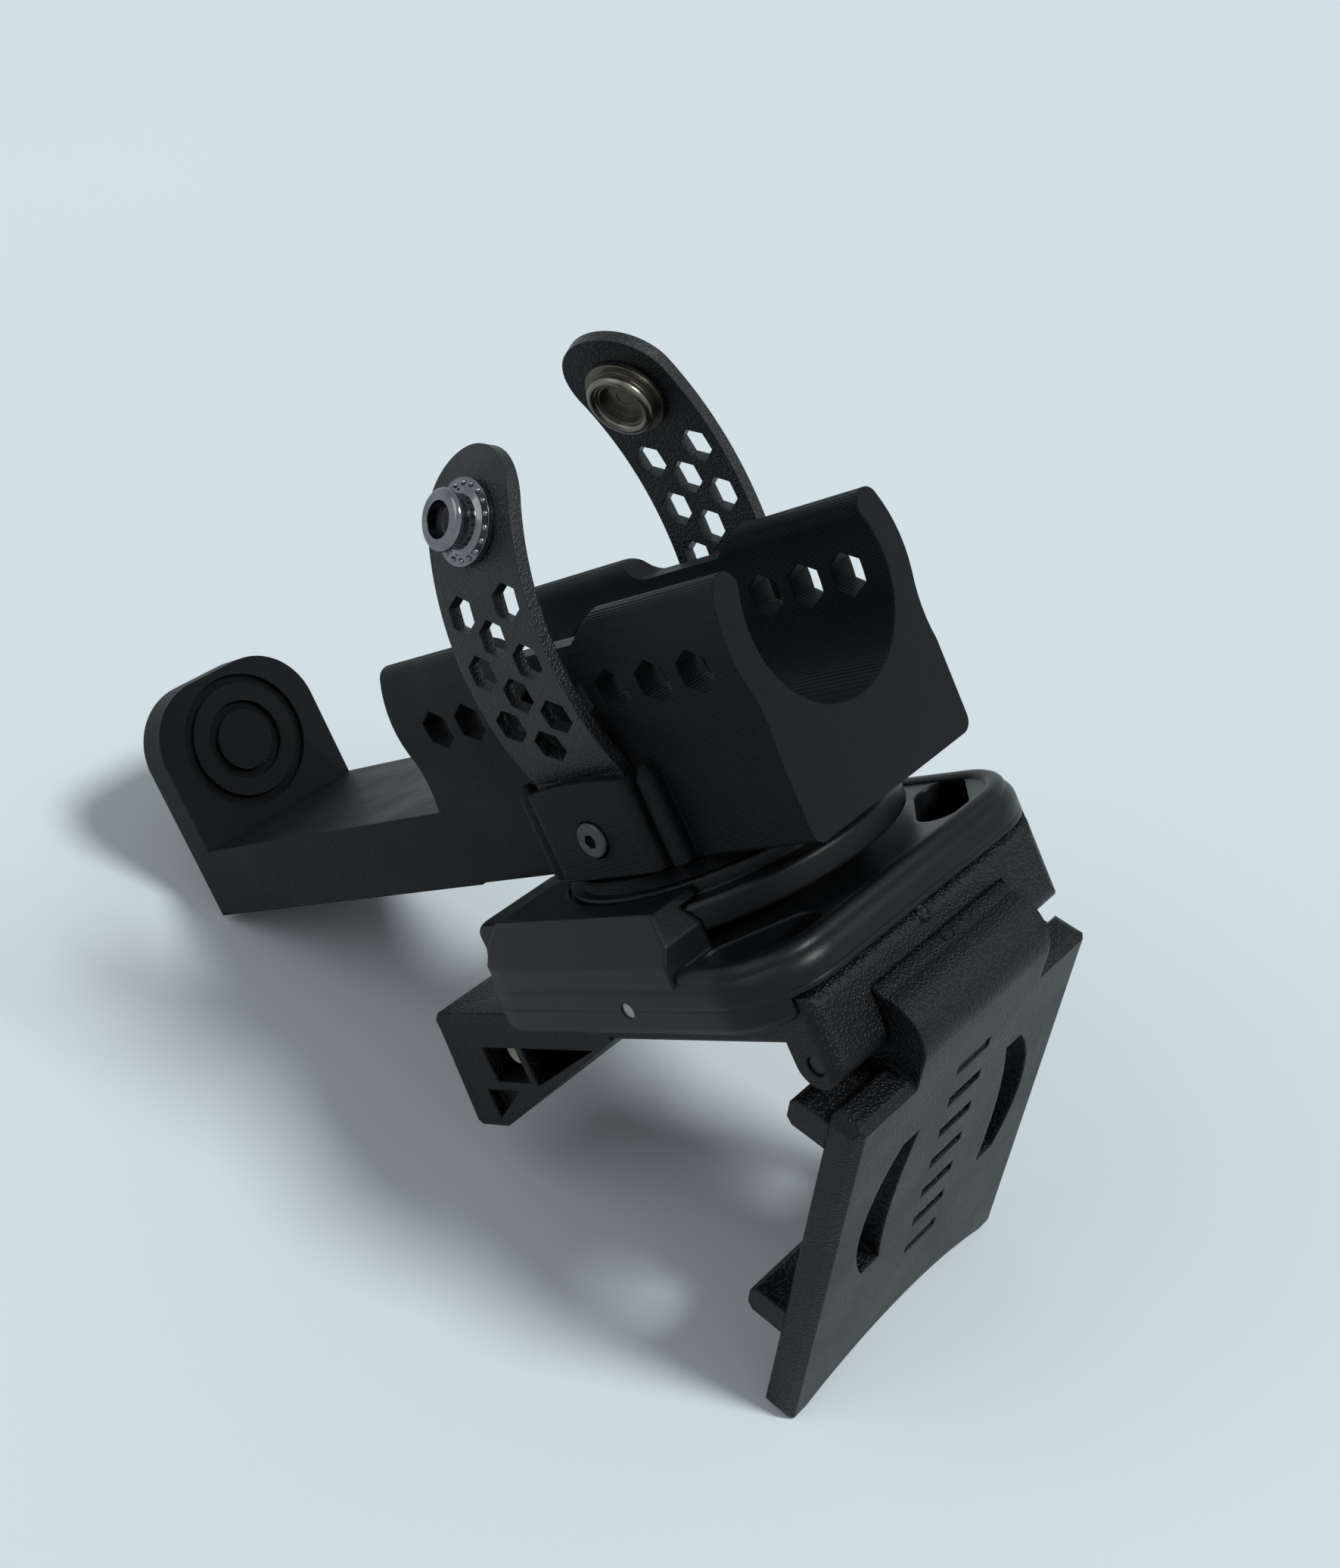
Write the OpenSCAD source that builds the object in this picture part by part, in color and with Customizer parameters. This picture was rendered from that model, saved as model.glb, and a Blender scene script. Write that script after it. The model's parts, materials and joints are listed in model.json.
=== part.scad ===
// Swivelling belt-clip holder: a printed clamp trough with two snap straps and an end stop,
// turning on a rotor that is screwed to a belt clip with a hinged outer plate.
// Sizes are in millimetres and angles in degrees. Each sub-part is one module and one node.

/* [Trough] */
// inside diameter of the trough
bore_d = 29; // [27:0.5:31]
// thickness of the trough wall
wall = 4.6; // [3.8:0.2:5.4]
// length of the trough
trough_length = 74; // [68:1:80]
// height of the trough axis above the underside of the base
axis_height = 27.8; // [26.6:0.2:30]
// height of the wall tips above the trough axis
wall_rise = 9; // [8:0.5:11]
// height of the dip at mid length above the trough axis
notch_rise = 5.5; // [4:0.5:6.5]
// length of the level floor of the dip
notch_length = 16; // [10:1:20]
// width across the flats of the hexagonal wall holes
hex_flats = 5.6; // [4.4:0.2:6.2]
// spacing of the hexagonal wall holes
hex_pitch = 8.06; // [7.8:0.1:8.6]
// distance from the swivel axis to the open end of the trough
front_reach = 36.3; // [34:0.5:38]

/* [Arm and end stop] */
// reach of the arm beyond the trough
arm_reach = 81.5; // [70:0.5:95]
// width of the arm and of the end stop
arm_width = 34.4; // [30:0.4:36]
// thickness of the arm
arm_thickness = 12.8; // [10:0.2:13.2]
// thickness of the end stop
stop_thickness = 6.4; // [5:0.2:8]
// height of the end stop above the trough axis
stop_rise = 13.8; // [13.4:0.2:16]
// radius of the upper corners of the end stop
stop_corner = 8; // [4:0.5:9]
// mean radius of the outer ring groove
groove_radius = 11.5; // [10.5:0.5:12]
// width of the ring grooves
groove_width = 1.8; // [1.2:0.2:2.4]

/* [Straps] */
// width of both straps
strap_width = 18.6; // [17:0.2:20]
// thickness of both straps
strap_thickness = 2; // [1.6:0.1:2.4]
// outer radius of the near strap's curve
near_strap_radius = 46.3; // [42:0.5:52]
// length of the near strap above its clamp
near_strap_length = 49.8; // [46:0.1:56]
// outer radius of the far strap's curve
far_strap_radius = 55.6; // [50:0.5:60]
// length of the far strap above its clamp
far_strap_length = 57.1; // [52:0.1:62]
// outward lean of the straps where they leave the clamps
strap_lean = 22.8; // [20:0.2:26]
// width across the flats of the hexagonal strap holes
strap_hex_flats = 4.8; // [3.6:0.2:5.2]
// distance from a strap's tip to its snap fastener
snap_inset = 10.7; // [9.5:0.1:12]
// diameter of the snap stud's flange
snap_d = 12; // [10:0.5:13]
// diameter of the snap stud's knob
knob_d = 8.6; // [7.4:0.2:9]

/* [Strap clamps] */
// length of a strap clamp along the trough
clamp_length = 21.6; // [20.8:0.2:22.2]
// height of a strap clamp
clamp_height = 13.6; // [12.6:0.2:14]
// thickness of a strap clamp's outer wall
clamp_wall = 2; // [1.6:0.1:2.6]
// diameter of the clamp screw heads
clamp_head_d = 5.6; // [5:0.2:6]

/* [Turret] */
// diameter of the printed boss under the base
boss_d = 44; // [40:1:46]
// thickness of the printed boss
boss_height = 2; // [1.4:0.2:3]
// diameter of the turret's upper step
step_d = 47; // [45:0.5:48]
// height of the turret's upper step
step_height = 2.1; // [1.5:0.1:3]
// diameter of the turret's flange
flange_d = 54; // [51:0.5:54.6]
// thickness of the turret's flange
flange_height = 4.1; // [3:0.1:5]
// diameter of the turret's neck
neck_d = 38; // [34:0.5:40]
// height of the gap between the flange and the rotor's deck
deck_gap = 2.4; // [1.6:0.1:3.2]

/* [Rotor housing] */
// length of the rotor housing
rotor_length = 69.6; // [68:0.4:74]
// width of the rotor housing
rotor_width = 62.4; // [61.2:0.4:66]
// corner radius of the rotor housing
rotor_corner = 12.3; // [10:0.1:12.6]
// height of the upper rotor shell
cover_height = 4.6; // [4.4:0.1:5.4]
// height of the lower rotor shell
tray_height = 4.1; // [3.8:0.1:5]
// thickness of the deck under the turret
deck_thickness = 2; // [1.6:0.1:2]
// edge rounding around the deck
deck_round = 3; // [2:0.2:3.6]
// distance of the two corner slots from the swivel axis
corner_slot_radius = 31.4; // [31:0.1:32]
// width of the two corner slots
corner_slot_width = 8; // [6:0.5:8.5]
// height of the lever hood above the deck
hood_height = 8.2; // [7.6:0.1:8.6]

/* [Release lever] */
// length of the thumb tab along the clip
tab_length = 9; // [7:0.5:11]
// width of the thumb tab across the clip
tab_width = 19.5; // [16:0.5:19.5]
// thickness of the thumb tab
tab_thickness = 6; // [4:0.5:6]
// diameter of the lever's pin
lever_pin_d = 2.4; // [1.8:0.1:2.8]

/* [Belt clip] */
// width of the clip body
clip_width = 52; // [50:0.5:54]
// thickness of the clip's back plate
back_thickness = 4.1; // [3.4:0.1:5]
// reach of the back plate behind the swivel axis
back_reach = 57.2; // [54:0.2:62]
// depth of the hook below the back plate
hook_depth = 16.6; // [15:0.2:18]
// length of the hook's tip along the clip
hook_tip = 8.6; // [7:0.2:10]
// thickness of the knuckles along the clip
knuckle_thickness = 7.1; // [6.5:0.1:8]
// length of one knuckle along the hinge
knuckle_length = 10.8; // [9:0.1:12]
// distance from the hinge axis to the front of the clip
hinge_setback = 3.5; // [3.3:0.1:4]
// distance of the hinge axis below the back plate
hinge_drop = 3.1; // [2.8:0.1:3.6]
// diameter of the hinge pin
hinge_pin_d = 3; // [2.4:0.1:3.4]
// diameter of the release buttons in the hook
button_d = 4.8; // [3.6:0.2:5.4]

/* [Outer plate] */
// width of the hinged outer plate
plate_width = 54.4; // [53.6:0.2:58]
// length of the hinged outer plate
plate_length = 69.8; // [67:0.2:71]
// thickness of the hinged outer plate
plate_thickness = 5.2; // [4.4:0.1:5.6]
// distance of the plate's outer face from the hinge axis
plate_offset = 9.4; // [9:0.1:10]
// distance from the hinge axis to the plate's upper edge
plate_start = 4.7; // [4.5:0.1:5.5]
// diameter of the hinge barrel
barrel_d = 12.2; // [11:0.2:12.6]
// depth of the hollow in the plate's lower edge
end_hollow = 5.5; // [3:0.5:7]
// width of the ladder slots
slot_width = 7.8; // [7:0.2:10]
// height of the ladder slots
slot_height = 2.2; // [1.8:0.1:2.8]
// spacing of the ladder slots
slot_pitch = 7; // [6.8:0.1:7.2]
// height of the belt stop bars off the plate
bar_rise = 6.6; // [5:0.1:6.8]
// width of the belt stop bars
bar_width = 5; // [4:0.1:6]

/* [Pose] */
// turn of the trough on its swivel at rest
swivel_rest = 2.6; // [0:0.2:4]

/* [Hidden] */
$fn = 96;

// clearances
free_gap = 0.4;      // between bodies that pass each other
run_gap = 0.05;      // radial, for pins and shafts that turn
seat_gap = 0.02;     // radial, for pins and screws that are held
eps = 0.5;           // how far a cutter runs past a face

// trough
bore_r = bore_d / 2;
outer_r = bore_r + wall;
base_half = outer_r - 1;
base_z = -axis_height;
trough_front = -front_reach;
trough_back = trough_front + trough_length;
base_corner = 2;
waist_r = 21;
waist_turn = 15;
tip_r = wall / 2;
mid_r = bore_r + tip_r;
notch_ramp = 4.6;
hex_count = 8;
hex_first = trough_front + (trough_length - (hex_count - 1) * hex_pitch) / 2 - 1.6;
hex_z = -1.7;

// arm
arm_top = base_z + arm_thickness;
arm_end = trough_back + arm_reach;
groove_depth = 1.2;
groove_step = 5;

// clamps and straps
clamp_half = clamp_length / 2;
clamp_top = base_z + clamp_height + 0.9;
clamp_bottom = clamp_top - clamp_height;
clamp_crown = 0.8;
bend_z = clamp_top + clamp_crown + 0.05;
clamp_corner = 1.8;
strap_half = strap_width / 2;
strap_in = base_half + 0.1;
strap_out = strap_in + strap_thickness;
clamp_in = strap_out + 0.05;
clamp_out = clamp_in + clamp_wall;
clamp_screw_z = clamp_bottom + 5.9;
clamp_screw_r = 1.5;
rib_r = 1.7;
rib_x = clamp_half + 0.3 + rib_r;
rib_out = base_half + 1.2;
insert_r = 2.6;
insert_depth = 5;
strap_hex_first = 22.5;
strap_hex_pitch = 4.22;
strap_hex_side = 5;
snap_hole_r = 1.8;

// turret and rotor, from the base downwards
boss_z = base_z - boss_height;
step_z = boss_z - step_height;
flange_z = step_z - flange_height;
deck_z = flange_z - deck_gap;
deck_under = deck_z - deck_thickness;
neck_z = deck_under - free_gap;
retainer_thickness = 1.5;
retainer_r = neck_d / 2 + 3;
retainer_z = neck_z - retainer_thickness;
seam_z = deck_z - cover_height;
tray_z = seam_z - tray_height;
cavity_r = retainer_r + 0.7;
axle_r = 2;
axle_head_r = 4;
axle_head_h = 1.8;
axle_top = base_z + 7.8;
axle_insert_r = 3.4;
hood_z = deck_z + hood_height;
corner_slot_length = 9.6;
corner_slot_turn = 41;
hood_front = -16;
hood_inset = 0.35;
hood_back = 25.6;

// lever
lever_x = -4.4;
lever_width = 2.4;
lever_out = max(cavity_r + 1 + lever_width, rotor_width / 2 - 5.1);
lever_in = lever_out - lever_width;
channel_depth = 3.1;
spring_front = lever_x + 6.4;
spring_foot = 6;
spring_rise = 12;
spring_thickness = 0.3;
arm_low = seam_z - 1.2;
arm_high = seam_z + 1.6;
hub_r = 2.2;
riser_front = 26.5;
riser_back = 30;
tab_front = 28.5;
tab_low = deck_z - 0.6;
tab_near = 4;

// clip
back_top = tray_z;
back_z = back_top - back_thickness;
clip_half = clip_width / 2;
clip_front = -rotor_length / 2 + 0.6;
hinge_x = clip_front + hinge_setback;
hinge_z = back_z - hinge_drop;
knuckle_back = clip_front + knuckle_thickness;
knuckle_in = clip_half - knuckle_length;
knuckle_r = knuckle_thickness / 2 + 0.05;
clip_corner = 2.6;
bar_top = back_z + 7;
hook_z = back_z - hook_depth;
hook_front = back_reach - hook_tip;
brace_front = hook_front - 38;
hook_lean = 1.8;
brace_slope = hook_depth / (hook_front - brace_front);
button_x = back_reach - 15.2;
button_z = back_z - 4.5;
button_stroke = 1.5;
button_out = clip_half - 3;
web_half = clip_half - 12;
rotor_screw_at = [[-21.2, 14.6], [-21.2, -14.6], [27.4, -17], [28.4, -2.5]];
rotor_screw_r = 1.25;
rotor_head_r = 2.5;
rotor_head_h = 1.6;

// outer plate, laid out along the clip with its outer face down, hinge axis at the origin
plate_end = plate_start + plate_length;
plate_low = -plate_offset;
plate_high = plate_low + plate_thickness;
plate_chamfer = 1.2;
barrel_r = barrel_d / 2;
barrel_half = knuckle_in - free_gap;
slot_count = 7;
slot_first = plate_start + 6;
bar_tongue = slot_height - 0.3;
bar_shift = 0.7;
bar_half = clip_half + 0.6;
plate_corner = 2.4;
lobe_x = 0.6;
lobe_r = 6.6;
upper_slot = slot_first;
lower_slot = slot_first + (slot_count - 1) * slot_pitch;

// stance: the outer plate stands upright on its lower edge, the arm's end rests on its corner
rest_x = arm_end * cos(swivel_rest) + arm_width / 2 * sin(swivel_rest);
reach_x = rest_x - hinge_x;
reach_z = base_z - hinge_z;
stance = asin(plate_end / norm([reach_x, reach_z])) + atan2(reach_z, reach_x);
floor_z = -rest_x * sin(stance) + base_z * cos(stance);
left_x = hinge_x * cos(stance) + hinge_z * sin(stance) - plate_offset;
stop_flat = arm_width / 2 - stop_corner;
right_x = (arm_end * cos(swivel_rest) + stop_flat * sin(swivel_rest)) * cos(stance)
          + stop_rise * sin(stance);

function brace_z(x) = back_z - (x - brace_front) * brace_slope;
function strap_y(radius) = strap_out - radius * cos(strap_lean);
function strap_z(radius) = bend_z + radius * sin(strap_lean);
function arc_deg(len, radius) = len / radius * 180 / PI;
function strap_tip(radius, len) = arc_deg(len, radius) - strap_lean;

// ---------- frames ----------
module stood() {
  translate([-(left_x + right_x) / 2, 0, -floor_z])
    rotate([0, stance, 0])
      children();
}

module swivelled() {
  rotate([0, 0, swivel_rest])
    children();
}

module on_hinge() {
  translate([hinge_x, 0, hinge_z])
    rotate([0, 90 - stance, 0])
      children();
}

// a 2-D outline in Y and Z, drawn out along X between two stations
module along_x(from, to) {
  translate([from, 0, 0])
    rotate([90, 0, 90])
      linear_extrude(height = to - from)
        children();
}

// a 2-D outline in X and Z, drawn out along Y between two stations
module along_y(from, to) {
  translate([0, to, 0])
    rotate([90, 0, 0])
      linear_extrude(height = to - from)
        children();
}

// a round bar along Y
module y_rod(x, z, from, to, r) {
  translate([x, to, z])
    rotate([90, 0, 0])
      cylinder(h = to - from, r = r);
}

module span(from, to) {
  translate(from)
    cube(to - from);
}

// ---------- rounded block with rolled upper and lower edges ----------
module edge_outline(half, height, top, bottom) {
  union() {
    translate([-half, bottom])
      square([2 * half, height - top - bottom]);
    translate([-half + top, height - top])
      square([2 * (half - top), top]);
    translate([-half + bottom, 0])
      square([2 * (half - bottom), bottom]);
    for (s = [-1, 1]) {
      translate([s * (half - top), height - top])
        circle(r = top);
      translate([s * (half - bottom), bottom])
        circle(r = bottom);
    }
  }
}

module rolled_block(length, width, corner, height, top, bottom) {
  union() {
    along_x(-length / 2 + corner, length / 2 - corner)
      edge_outline(width / 2, height, top, bottom);
    along_y(-width / 2 + corner, width / 2 - corner)
      edge_outline(length / 2, height, top, bottom);
    for (sx = [-1, 1], sy = [-1, 1])
      translate([sx * (length / 2 - corner), sy * (width / 2 - corner), 0])
        rotate_extrude()
          intersection() {
            edge_outline(corner, height, top, bottom);
            square([corner, height]);
          }
  }
}

module rounded_prism(length, width, corner, height) {
  union() {
    translate([-length / 2 + corner, -width / 2, 0])
      cube([length - 2 * corner, width, height]);
    translate([-length / 2, -width / 2 + corner, 0])
      cube([length, width - 2 * corner, height]);
    for (sx = [-1, 1], sy = [-1, 1])
      translate([sx * (length / 2 - corner), sy * (width / 2 - corner), 0])
        cylinder(h = height, r = corner);
  }
}

// ---------- cradle ----------
module trough_outline(rise) {
  // the hollow waist on each side runs out of the round wall and into the straight base
  waist_at = outer_r + waist_r - 0.02;
  waist_top = [outer_r * cos(waist_turn), -outer_r * sin(waist_turn)];
  waist_low = waist_top[1] - 2.1;
  tip_z = rise - tip_r;
  tip_y = sqrt(mid_r * mid_r - tip_z * tip_z);
  union() {
    difference() {
      union() {
        circle(r = outer_r);
        polygon([[-base_half, base_z + base_corner], [-base_half + base_corner, base_z],
                 [base_half - base_corner, base_z], [base_half, base_z + base_corner],
                 [base_half, waist_low], [waist_top[0] + 0.1, waist_top[1]],
                 [-waist_top[0] - 0.1, waist_top[1]], [-base_half, waist_low]]);
        for (s = [-1, 1])
          translate([s * (base_half - base_corner), base_z + base_corner])
            circle(r = base_corner);
      }
      for (s = [-1, 1])
        translate([s * waist_at * cos(waist_turn), -waist_at * sin(waist_turn)])
          circle(r = waist_r, $fn = 240);
      circle(r = bore_r);
      polygon([[0, 0], [2 * tip_y, 2 * tip_z], [2 * outer_r, 3 * outer_r],
               [-2 * outer_r, 3 * outer_r], [-2 * tip_y, 2 * tip_z]]);
    }
    for (s = [-1, 1])
      translate([s * tip_y, tip_z])
        circle(r = tip_r);
  }
}

// the side view of what is cut away above the dip
module notch_cutter() {
  rise = wall_rise - notch_rise;
  half = notch_length / 2;
  run = 5.8;
  curve_r = (run * run + rise * rise) / (4 * rise);
  union() {
    polygon([[-half - notch_ramp, wall_rise], [-half, notch_rise], [half, notch_rise],
             [half, wall_rise + 1], [-half - notch_ramp, wall_rise + 1]]);
    intersection() {
      translate([half, notch_rise + curve_r])
        circle(r = curve_r);
      translate([half, notch_rise])
        square([run / 2, rise + 1]);
    }
    difference() {
      translate([half, notch_rise + rise / 2])
        square([run, rise / 2 + 1]);
      translate([half + run, wall_rise - curve_r])
        circle(r = curve_r);
    }
  }
}

module trough() {
  half = notch_length / 2;
  union() {
    along_x(trough_front, trough_back)
      trough_outline(notch_rise);
    difference() {
      along_x(trough_front, trough_back)
        trough_outline(wall_rise);
      along_y(-outer_r - 1, outer_r + 1)
        notch_cutter();
    }
  }
}

module rib(side) {
  translate([side * rib_x, 0, 0]) {
    translate([0, rib_out, clamp_bottom]) {
      cylinder(h = clamp_height - 0.8, r = rib_r);
      translate([0, 0, clamp_height - 0.8])
        cylinder(h = 1.7, r1 = rib_r, r2 = rib_r - 1);
    }
    span([-rib_r, base_half - 1, clamp_bottom], [rib_r, rib_out, clamp_bottom + clamp_height - 0.8]);
  }
}

module cradle() {
  color([0.07, 0.07, 0.08])
    stood() swivelled()
      difference() {
        union() {
          trough();
          span([trough_back - 1, -arm_width / 2, base_z], [arm_end, arm_width / 2, arm_top]);
          along_x(arm_end - stop_thickness, arm_end)
            union() {
              translate([-arm_width / 2, base_z])
                square([arm_width, axis_height + stop_rise - stop_corner]);
              translate([-stop_flat, 0])
                square([2 * stop_flat, stop_rise]);
              for (s = [-1, 1])
                translate([s * stop_flat, stop_rise - stop_corner])
                  circle(r = stop_corner);
            }
          for (s = [-1, 1], m = [0, 1])
            mirror([0, m, 0])
              rib(s);
        }
        for (i = [0 : hex_count - 1])
          translate([hex_first + i * hex_pitch, 0, hex_z])
            rotate([90, 30, 0])
              cylinder(h = 3 * outer_r, r = hex_flats / sqrt(3), center = true, $fn = 6);
        for (r = [groove_radius, groove_radius - groove_step])
          translate([arm_end - stop_thickness - eps, 0, 0])
            rotate([0, 90, 0])
              difference() {
                cylinder(h = groove_depth + eps, r = r + groove_width / 2);
                cylinder(h = groove_depth + eps, r = r - groove_width / 2);
              }
        y_rod(0, clamp_screw_z, base_half - insert_depth, base_half + eps, insert_r + seat_gap);
        y_rod(0, clamp_screw_z, -base_half - eps, -base_half + insert_depth, insert_r + seat_gap);
        translate([0, 0, base_z - eps])
          cylinder(h = axle_top - base_z + eps, r = axle_insert_r + seat_gap);
      }
}

// ---------- straps, drawn on the near side ----------
module strap(radius, len, hole_rows) {
  cy = strap_y(radius);
  cz = strap_z(radius);
  tip = strap_tip(radius, len);
  big = radius + 12;
  start = -strap_lean - 3;
  past = tip + 3;
  round_deg = tip - arc_deg(strap_half, radius);
  snap_deg = tip - arc_deg(snap_inset, radius);
  difference() {
    union() {
      span([-strap_half, strap_in, clamp_bottom + 0.2], [strap_half, strap_out, bend_z]);
      difference() {
        translate([0, cy, cz])
          rotate([0, 90, 0])
            cylinder(h = strap_width, r = radius, center = true);
        translate([0, cy, cz])
          rotate([0, 90, 0])
            cylinder(h = strap_width + 2, r = radius - strap_thickness, center = true);
        along_x(-strap_width, strap_width)
          translate([cy, cz])
            polygon([[0, 0], [big * cos(past), big * sin(past)], [0, 2 * big], [-2 * big, 2 * big],
                     [-2 * big, -2 * big], [big, -2 * big], [big * cos(start), big * sin(start)]]);
        span([-strap_width, 0, bend_z - 8], [strap_width, strap_in, bend_z + 0.5]);
      }
    }
    on_strap(radius, round_deg)
      difference() {
        span([-strap_width, -strap_width, -strap_thickness - 4], [strap_width, 0, 4]);
        translate([0, 0, -strap_thickness - 5])
          cylinder(h = strap_thickness + 10, r = strap_half + 0.02);
      }
    on_strap(radius, snap_deg)
      translate([0, 0, -strap_thickness - 2])
        cylinder(h = strap_thickness + 4, r = snap_hole_r + seat_gap);
    for (i = [0 : hole_rows - 1], x = i % 2 == 0 ? [-strap_hex_side, strap_hex_side] : [0])
      on_strap(radius, tip - arc_deg(strap_hex_first + i * strap_hex_pitch, radius))
        translate([x, 0, -strap_thickness - 1.5])
          rotate([0, 0, 30])
            cylinder(h = strap_thickness + 3, r = strap_hex_flats / sqrt(3), $fn = 6);
    y_rod(0, clamp_screw_z, strap_in - 1, strap_out + 1, clamp_screw_r + 0.2);
  }
}

// a frame on the strap's outer face at one angle of its curve, +Z outwards, X along the trough
module on_strap(radius, at) {
  translate([0, strap_y(radius), strap_z(radius)])
    rotate([at - 90, 0, 0])
      translate([0, 0, radius])
        children();
}

function rows(len) = floor((len - strap_hex_first - 3) / strap_hex_pitch) + 1;

module near_strap() {
  color([0.1, 0.1, 0.1])
    stood() swivelled()
      strap(near_strap_radius, near_strap_length, rows(near_strap_length));
}

module far_strap() {
  color([0.1, 0.1, 0.1])
    stood() swivelled() mirror([0, 1, 0])
      strap(far_strap_radius, far_strap_length, rows(far_strap_length));
}

// ---------- strap clamps ----------
module clamp() {
  crown_r = (clamp_half * clamp_half + clamp_crown * clamp_crown) / (2 * clamp_crown);
  leg_in = strap_half + 0.2;
  difference() {
    intersection() {
      union() {
        span([-clamp_half, base_half, clamp_bottom],
             [clamp_half, clamp_out - clamp_corner, clamp_top + clamp_crown]);
        span([-clamp_half + clamp_corner, base_half, clamp_bottom],
             [clamp_half - clamp_corner, clamp_out, clamp_top + clamp_crown]);
        for (s = [-1, 1])
          translate([s * (clamp_half - clamp_corner), clamp_out - clamp_corner, clamp_bottom])
            cylinder(h = clamp_height + clamp_crown, r = clamp_corner);
      }
      y_rod(0, clamp_top + clamp_crown - crown_r, base_half - 1, clamp_out + 1, crown_r);
    }
    span([-leg_in, base_half - 1, clamp_bottom - 1], [leg_in, clamp_in, clamp_top + 2]);
    y_rod(0, clamp_screw_z, clamp_in - 1, clamp_out + 1, clamp_screw_r + 0.15);
    y_rod(0, clamp_screw_z, clamp_out - 0.9, clamp_out + 1, clamp_head_d / 2 + 0.15);
  }
}

module near_clamp() {
  color([0.08, 0.08, 0.09])
    stood() swivelled()
      clamp();
}

module far_clamp() {
  color([0.08, 0.08, 0.09])
    stood() swivelled() mirror([0, 1, 0])
      clamp();
}

module clamp_screw() {
  head_r = clamp_head_d / 2;
  seat = clamp_out - 0.9;
  difference() {
    union() {
      y_rod(0, clamp_screw_z, base_half - insert_depth + 0.4, seat + 0.2, clamp_screw_r);
      translate([0, seat, clamp_screw_z])
        rotate([-90, 0, 0])
          rotate_extrude()
            union() {
              square([head_r, 0.9]);
              square([head_r - 0.6, 1.5]);
              translate([head_r - 0.6, 0.9])
                circle(r = 0.6, $fn = 32);
            }
    }
    y_rod(0, clamp_screw_z, seat + 0.4, seat + 3, 1.15, $fn = 6);
  }
}

module near_clamp_screw() {
  color([0.25, 0.25, 0.26])
    stood() swivelled()
      clamp_screw();
}

module far_clamp_screw() {
  color([0.25, 0.25, 0.26])
    stood() swivelled() mirror([0, 1, 0])
      clamp_screw();
}

module insert(r, len, hole_r) {
  difference() {
    union() {
      cylinder(h = len, r = r - 0.3);
      cylinder(h = len * 0.35, r = r);
      translate([0, 0, len * 0.55])
        cylinder(h = len * 0.35, r = r);
    }
    translate([0, 0, -1])
      cylinder(h = len + 2, r = hole_r);
  }
}

module clamp_insert() {
  translate([0, base_half, clamp_screw_z])
    rotate([90, 0, 0])
      insert(insert_r, insert_depth, clamp_screw_r + seat_gap);
}

module near_insert() {
  color([0.75, 0.6, 0.3])
    stood() swivelled()
      clamp_insert();
}

module far_insert() {
  color([0.75, 0.6, 0.3])
    stood() swivelled() mirror([0, 1, 0])
      clamp_insert();
}

// ---------- snap fastener ----------
module at_near_snap() {
  on_strap(near_strap_radius,
           strap_tip(near_strap_radius, near_strap_length) - arc_deg(snap_inset, near_strap_radius))
    children();
}

module at_far_snap() {
  on_strap(far_strap_radius,
           strap_tip(far_strap_radius, far_strap_length) - arc_deg(snap_inset, far_strap_radius))
    children();
}

snap_r = snap_d / 2;
knob_r = knob_d / 2;
// how far a flat flange sits off the curved outer face, and into the curved inner face
near_sag = snap_r * snap_r / (2 * near_strap_radius) + 0.02;
far_sag = snap_r * snap_r / (2 * far_strap_radius) + 0.08;

module snap_stud() {
  color([0.82, 0.82, 0.8])
    stood() swivelled() at_near_snap()
      difference() {
        union() {
          translate([0, 0, 0.02])
            cylinder(h = 0.9, r = snap_r);
          for (i = [0 : 17])
            rotate([0, 0, i * 20])
              translate([snap_r - 0.75, 0, 0.92])
                sphere(r = 0.42, $fn = 20);
          translate([0, 0, 0.92])
            cylinder(h = 0.5, r1 = knob_r + 0.3, r2 = knob_r - 0.5);
          translate([0, 0, 1.4])
            cylinder(h = 2.6, r = knob_r - 0.5);
          translate([0, 0, 3.2])
            rotate_extrude()
              union() {
                square([knob_r - 0.8, 1.6]);
                translate([knob_r - 0.8, 0.8])
                  circle(r = 0.8, $fn = 40);
              }
        }
        translate([0, 0, 2.2])
          cylinder(h = 3, r = knob_r - 1.7);
        translate([0, 0, -1])
          cylinder(h = 5, r = snap_hole_r - 0.5);
      }
}

module stud_eyelet() {
  color([0.7, 0.7, 0.68])
    stood() swivelled() at_near_snap()
      union() {
        translate([0, 0, -strap_thickness - near_sag - 0.9])
          cylinder(h = 0.9, r = snap_r - 1);
        translate([0, 0, -strap_thickness - near_sag - 0.2])
          cylinder(h = strap_thickness + near_sag + 1.6, r = snap_hole_r - 0.5 - seat_gap);
        translate([0, 0, -strap_thickness - near_sag - 0.2])
          cylinder(h = strap_thickness + near_sag + 0.1, r = snap_hole_r);
      }
}

module snap_socket() {
  color([0.45, 0.4, 0.3])
    stood() swivelled() mirror([0, 1, 0]) at_far_snap()
      translate([0, 0, -strap_thickness - far_sag])
        mirror([0, 0, 1])
          difference() {
            union() {
              cylinder(h = 0.9, r = snap_r + 0.3);
              cylinder(h = 2.2, r = snap_r - 1);
              translate([0, 0, 2.2])
                rotate_extrude()
                  translate([snap_r - 1.5, 0])
                    circle(r = 0.8, $fn = 40);
            }
            translate([0, 0, 0.7])
              cylinder(h = 5, r = knob_r - 0.9);
            translate([0, 0, -1])
              cylinder(h = 3, r = snap_hole_r - 0.5);
          }
}

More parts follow.
